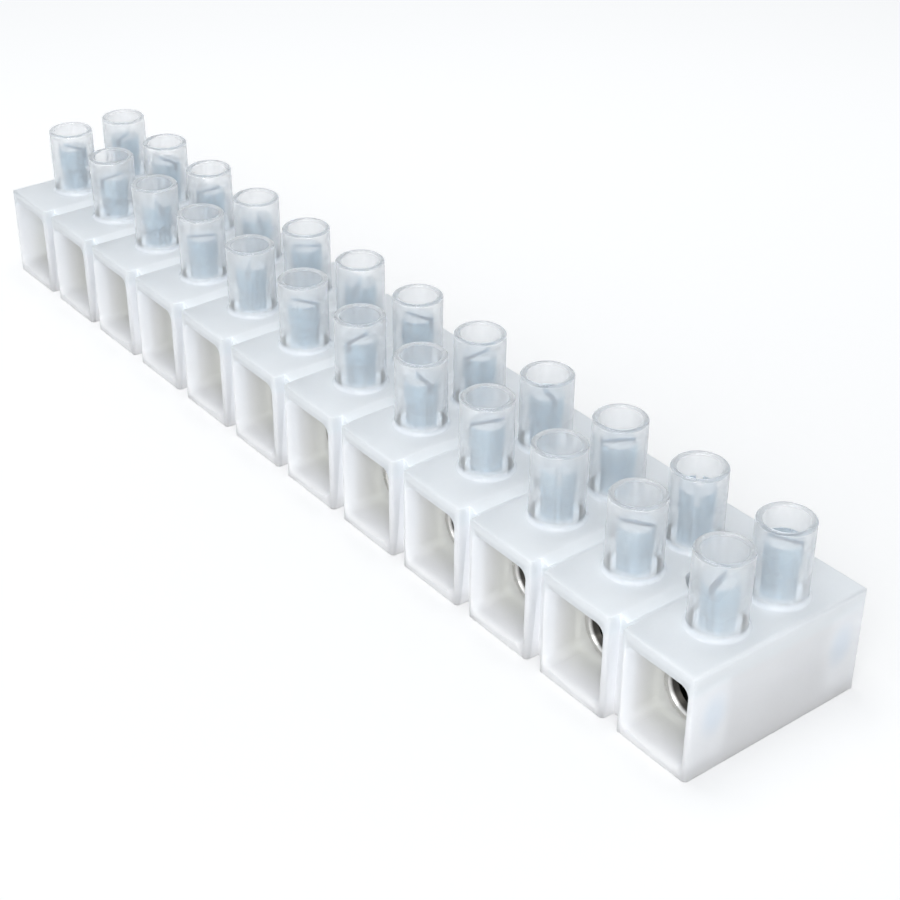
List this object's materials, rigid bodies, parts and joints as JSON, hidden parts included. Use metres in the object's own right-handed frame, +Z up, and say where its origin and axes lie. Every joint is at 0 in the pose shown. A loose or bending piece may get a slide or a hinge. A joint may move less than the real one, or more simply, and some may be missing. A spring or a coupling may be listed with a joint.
{
  "type": "barrier terminal strip",
  "caption": "Translucent white screw terminal strip: a row of joined pole blocks with wire entries on both sides and tubular towers that hold slotted clamping screws.",
  "frame": {"origin": "centre of the footprint, on the surface that the strip lies on", "axes": "+X along the row of poles, +Y from the front wire entries to the back ones, +Z up along the screw towers"},
  "size_m": [0.0948, 0.0164, 0.0145],
  "materials": {
    "housing_plastic": "milky translucent natural polyethylene, soft satin gloss",
    "insert_nickel": "bright nickel plating on brass",
    "screw_zinc": "bright zinc plating with a faint blue passivation"
  },
  "bodies": {
    "strip": {"housing": "housing_plastic", "insert_01": "insert_nickel", "insert_02": "insert_nickel", "insert_03": "insert_nickel", "insert_04": "insert_nickel", "insert_05": "insert_nickel", "insert_06": "insert_nickel", "insert_07": "insert_nickel", "insert_08": "insert_nickel", "insert_09": "insert_nickel", "insert_10": "insert_nickel", "insert_11": "insert_nickel", "insert_12": "insert_nickel"},
    "front_screw_01": {"screw_front_01": "screw_zinc"},
    "front_screw_02": {"screw_front_02": "screw_zinc"},
    "front_screw_03": {"screw_front_03": "screw_zinc"},
    "front_screw_04": {"screw_front_04": "screw_zinc"},
    "front_screw_05": {"screw_front_05": "screw_zinc"},
    "front_screw_06": {"screw_front_06": "screw_zinc"},
    "front_screw_07": {"screw_front_07": "screw_zinc"},
    "front_screw_08": {"screw_front_08": "screw_zinc"},
    "front_screw_09": {"screw_front_09": "screw_zinc"},
    "front_screw_10": {"screw_front_10": "screw_zinc"},
    "front_screw_11": {"screw_front_11": "screw_zinc"},
    "front_screw_12": {"screw_front_12": "screw_zinc"},
    "back_screw_01": {"screw_back_01": "screw_zinc"},
    "back_screw_02": {"screw_back_02": "screw_zinc"},
    "back_screw_03": {"screw_back_03": "screw_zinc"},
    "back_screw_04": {"screw_back_04": "screw_zinc"},
    "back_screw_05": {"screw_back_05": "screw_zinc"},
    "back_screw_06": {"screw_back_06": "screw_zinc"},
    "back_screw_07": {"screw_back_07": "screw_zinc"},
    "back_screw_08": {"screw_back_08": "screw_zinc"},
    "back_screw_09": {"screw_back_09": "screw_zinc"},
    "back_screw_10": {"screw_back_10": "screw_zinc"},
    "back_screw_11": {"screw_back_11": "screw_zinc"},
    "back_screw_12": {"screw_back_12": "screw_zinc"}
  },
  "joints": [
    {"name": "front_screw_01_travel", "type": "slide", "parent": "strip", "child": "front_screw_01", "axis": [0, 0, 1], "range_m": [-0.00306, 0.00019]},
    {"name": "front_screw_02_travel", "type": "slide", "parent": "strip", "child": "front_screw_02", "axis": [0, 0, 1], "range_m": [-0.00278, 0.00047]},
    {"name": "front_screw_03_travel", "type": "slide", "parent": "strip", "child": "front_screw_03", "axis": [0, 0, 1], "range_m": [-0.00289, 0.00036]},
    {"name": "front_screw_04_travel", "type": "slide", "parent": "strip", "child": "front_screw_04", "axis": [0, 0, 1], "range_m": [-0.00264, 0.00061]},
    {"name": "front_screw_05_travel", "type": "slide", "parent": "strip", "child": "front_screw_05", "axis": [0, 0, 1], "range_m": [-0.00296, 0.00029]},
    {"name": "front_screw_06_travel", "type": "slide", "parent": "strip", "child": "front_screw_06", "axis": [0, 0, 1], "range_m": [-0.00275, 0.0005]},
    {"name": "front_screw_07_travel", "type": "slide", "parent": "strip", "child": "front_screw_07", "axis": [0, 0, 1], "range_m": [-0.00285, 0.0004]},
    {"name": "front_screw_08_travel", "type": "slide", "parent": "strip", "child": "front_screw_08", "axis": [0, 0, 1], "range_m": [-0.00275, 0.0005]},
    {"name": "front_screw_09_travel", "type": "slide", "parent": "strip", "child": "front_screw_09", "axis": [0, 0, 1], "range_m": [-0.00271, 0.00054]},
    {"name": "front_screw_10_travel", "type": "slide", "parent": "strip", "child": "front_screw_10", "axis": [0, 0, 1], "range_m": [-0.00299, 0.00026]},
    {"name": "front_screw_11_travel", "type": "slide", "parent": "strip", "child": "front_screw_11", "axis": [0, 0, 1], "range_m": [-0.0025, 0.00075]},
    {"name": "front_screw_12_travel", "type": "slide", "parent": "strip", "child": "front_screw_12", "axis": [0, 0, 1], "range_m": [-0.0025, 0.00075]},
    {"name": "back_screw_01_travel", "type": "slide", "parent": "strip", "child": "back_screw_01", "axis": [0, 0, 1], "range_m": [-0.00285, 0.0004]},
    {"name": "back_screw_02_travel", "type": "slide", "parent": "strip", "child": "back_screw_02", "axis": [0, 0, 1], "range_m": [-0.00296, 0.00029]},
    {"name": "back_screw_03_travel", "type": "slide", "parent": "strip", "child": "back_screw_03", "axis": [0, 0, 1], "range_m": [-0.00271, 0.00054]},
    {"name": "back_screw_04_travel", "type": "slide", "parent": "strip", "child": "back_screw_04", "axis": [0, 0, 1], "range_m": [-0.00289, 0.00036]},
    {"name": "back_screw_05_travel", "type": "slide", "parent": "strip", "child": "back_screw_05", "axis": [0, 0, 1], "range_m": [-0.00306, 0.00019]},
    {"name": "back_screw_06_travel", "type": "slide", "parent": "strip", "child": "back_screw_06", "axis": [0, 0, 1], "range_m": [-0.00278, 0.00047]},
    {"name": "back_screw_07_travel", "type": "slide", "parent": "strip", "child": "back_screw_07", "axis": [0, 0, 1], "range_m": [-0.00292, 0.00033]},
    {"name": "back_screw_08_travel", "type": "slide", "parent": "strip", "child": "back_screw_08", "axis": [0, 0, 1], "range_m": [-0.00303, 0.00022]},
    {"name": "back_screw_09_travel", "type": "slide", "parent": "strip", "child": "back_screw_09", "axis": [0, 0, 1], "range_m": [-0.0032, 0.00005]},
    {"name": "back_screw_10_travel", "type": "slide", "parent": "strip", "child": "back_screw_10", "axis": [0, 0, 1], "range_m": [-0.00296, 0.00029]},
    {"name": "back_screw_11_travel", "type": "slide", "parent": "strip", "child": "back_screw_11", "axis": [0, 0, 1], "range_m": [-0.0032, 0.00005]},
    {"name": "back_screw_12_travel", "type": "slide", "parent": "strip", "child": "back_screw_12", "axis": [0, 0, 1], "range_m": [-0.0032, 0.00005]}
  ]
}
